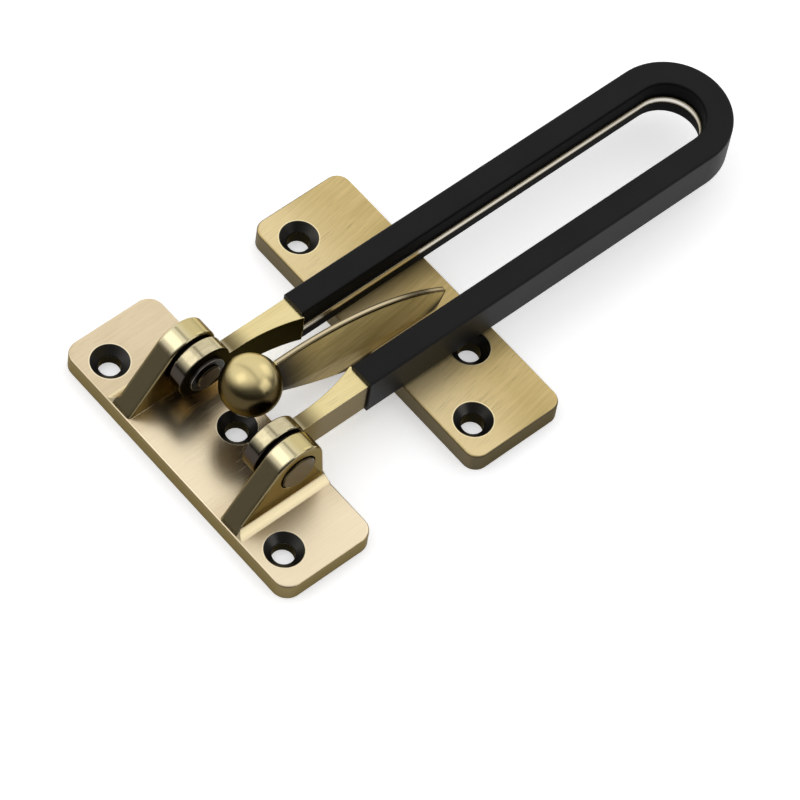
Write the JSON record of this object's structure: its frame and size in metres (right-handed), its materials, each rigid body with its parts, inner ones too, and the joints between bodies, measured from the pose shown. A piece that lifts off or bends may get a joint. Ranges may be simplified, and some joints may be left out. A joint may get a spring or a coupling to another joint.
{
  "type": "door guard",
  "caption": "Swing-bar door guard: hinge base with a rubber-sleeved U-shaped bar that folds over the ball of a keeper plate and holds a door ajar.",
  "frame": {"origin": "middle of the back face of the hinge base's plate", "axes": "+X along the plates, +Y from the hinge base along the closed bar to its loop, +Z away from the door"},
  "size_m": [0.08, 0.1643, 0.0276],
  "materials": {
    "antique_brass": "brushed antique brass plating on a zinc casting",
    "black_rubber": "matte moulded",
    "plated_steel": "dark antique brass plating",
    "bright_steel": "plain",
    "black_nylon": "plain"
  },
  "bodies": {
    "base": {"hinge_base": "antique_brass", "hinge_pin_right": "plated_steel", "hinge_pin_left": "plated_steel", "retaining_washer_right": "bright_steel", "retaining_washer_left": "bright_steel", "spacer_washer_right": "black_nylon", "spacer_washer_left": "black_nylon"},
    "bar": {"swing_bar": "antique_brass", "bar_sleeve": "black_rubber"},
    "keeper": {"keeper": "antique_brass"}
  },
  "joints": [
    {"name": "bar_swing", "type": "hinge", "parent": "base", "child": "bar", "pos_m": [0, 0.00445, 0.0152], "axis": [1, 0, 0], "range_deg": [0, 180]},
    {"name": "keeper_travel", "type": "slide", "parent": "base", "child": "keeper", "axis": [0, 1, 0], "range_m": [0, 0.078]}
  ]
}
